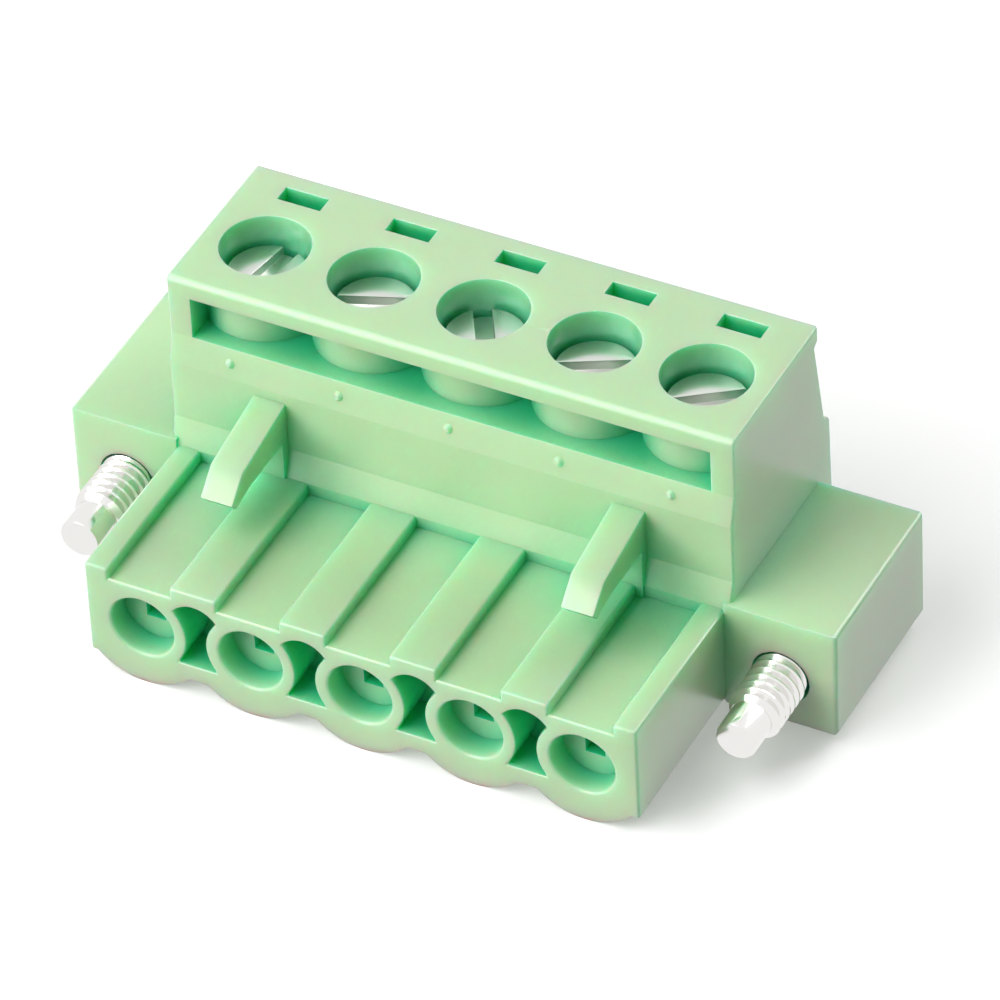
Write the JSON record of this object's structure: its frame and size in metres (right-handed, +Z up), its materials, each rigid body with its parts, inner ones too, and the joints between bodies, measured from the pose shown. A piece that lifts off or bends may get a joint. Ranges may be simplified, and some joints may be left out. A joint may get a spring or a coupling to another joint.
{
  "type": "pluggable terminal block plug",
  "caption": "Pluggable screw terminal plug with round pin sockets, rising cage clamps, latch arms and captive screws in its end flanges.",
  "frame": {"origin": "centre of the bounding box in X and Y, at the level the plug stands on", "axes": "+X along the row of poles, -Y out of the mating face, +Y out of the wire entries, +Z up towards the clamp screws' heads"},
  "size_m": [0.0356, 0.018, 0.0142],
  "materials": {
    "housing_plastic": "light green moulded polyamide, satin",
    "screw_steel": "zinc plated steel",
    "flange_screw_steel": "bright nickel plated steel",
    "cage_metal": "nickel plated brass",
    "contact_tin": "tin plated copper alloy"
  },
  "bodies": {
    "housing": {"housing": "housing_plastic", "contact_1": "contact_tin", "contact_2": "contact_tin", "contact_3": "contact_tin", "contact_4": "contact_tin", "contact_5": "contact_tin"},
    "clamp_screw_1": {"clamp_screw_1": "screw_steel"},
    "clamp_cage_1": {"clamp_cage_1": "cage_metal"},
    "clamp_screw_2": {"clamp_screw_2": "screw_steel"},
    "clamp_cage_2": {"clamp_cage_2": "cage_metal"},
    "clamp_screw_3": {"clamp_screw_3": "screw_steel"},
    "clamp_cage_3": {"clamp_cage_3": "cage_metal"},
    "clamp_screw_4": {"clamp_screw_4": "screw_steel"},
    "clamp_cage_4": {"clamp_cage_4": "cage_metal"},
    "clamp_screw_5": {"clamp_screw_5": "screw_steel"},
    "clamp_cage_5": {"clamp_cage_5": "cage_metal"},
    "flange_screw_left": {"flange_screw_left": "flange_screw_steel"},
    "flange_screw_right": {"flange_screw_right": "flange_screw_steel"}
  },
  "joints": [
    {"name": "clamp_screw_1_turn", "type": "hinge", "parent": "housing", "child": "clamp_screw_1", "pos_m": [-0.01016, 0.00331, 0.01], "axis": [0, 0, -1], "range_deg": [0, 2016]},
    {"name": "clamp_cage_1_rise", "type": "slide", "parent": "housing", "child": "clamp_cage_1", "axis": [0, 0, 1], "range_m": [0, 0.0028]},
    {"name": "clamp_screw_2_turn", "type": "hinge", "parent": "housing", "child": "clamp_screw_2", "pos_m": [-0.00508, 0.00331, 0.01], "axis": [0, 0, -1], "range_deg": [0, 2016]},
    {"name": "clamp_cage_2_rise", "type": "slide", "parent": "housing", "child": "clamp_cage_2", "axis": [0, 0, 1], "range_m": [0, 0.0028]},
    {"name": "clamp_screw_3_turn", "type": "hinge", "parent": "housing", "child": "clamp_screw_3", "pos_m": [0, 0.00331, 0.01], "axis": [0, 0, -1], "range_deg": [0, 2016]},
    {"name": "clamp_cage_3_rise", "type": "slide", "parent": "housing", "child": "clamp_cage_3", "axis": [0, 0, 1], "range_m": [0, 0.0028]},
    {"name": "clamp_screw_4_turn", "type": "hinge", "parent": "housing", "child": "clamp_screw_4", "pos_m": [0.00508, 0.00331, 0.01], "axis": [0, 0, -1], "range_deg": [0, 2016]},
    {"name": "clamp_cage_4_rise", "type": "slide", "parent": "housing", "child": "clamp_cage_4", "axis": [0, 0, 1], "range_m": [0, 0.0028]},
    {"name": "clamp_screw_5_turn", "type": "hinge", "parent": "housing", "child": "clamp_screw_5", "pos_m": [0.01016, 0.00331, 0.01], "axis": [0, 0, -1], "range_deg": [0, 2016]},
    {"name": "clamp_cage_5_rise", "type": "slide", "parent": "housing", "child": "clamp_cage_5", "axis": [0, 0, 1], "range_m": [0, 0.0028]},
    {"name": "flange_screw_left_turn", "type": "hinge", "parent": "housing", "child": "flange_screw_left", "pos_m": [-0.01524, 0, 0.00297], "axis": [0, 1, 0], "continuous": true},
    {"name": "flange_screw_right_turn", "type": "hinge", "parent": "housing", "child": "flange_screw_right", "pos_m": [0.01524, 0, 0.00297], "axis": [0, 1, 0], "continuous": true}
  ],
  "couplings": [
    {"joint": "clamp_screw_1_turn", "follows": "clamp_cage_1_rise", "rad_per_m": 12566},
    {"joint": "clamp_screw_2_turn", "follows": "clamp_cage_2_rise", "rad_per_m": 12566},
    {"joint": "clamp_screw_3_turn", "follows": "clamp_cage_3_rise", "rad_per_m": 12566},
    {"joint": "clamp_screw_4_turn", "follows": "clamp_cage_4_rise", "rad_per_m": 12566},
    {"joint": "clamp_screw_5_turn", "follows": "clamp_cage_5_rise", "rad_per_m": 12566}
  ]
}
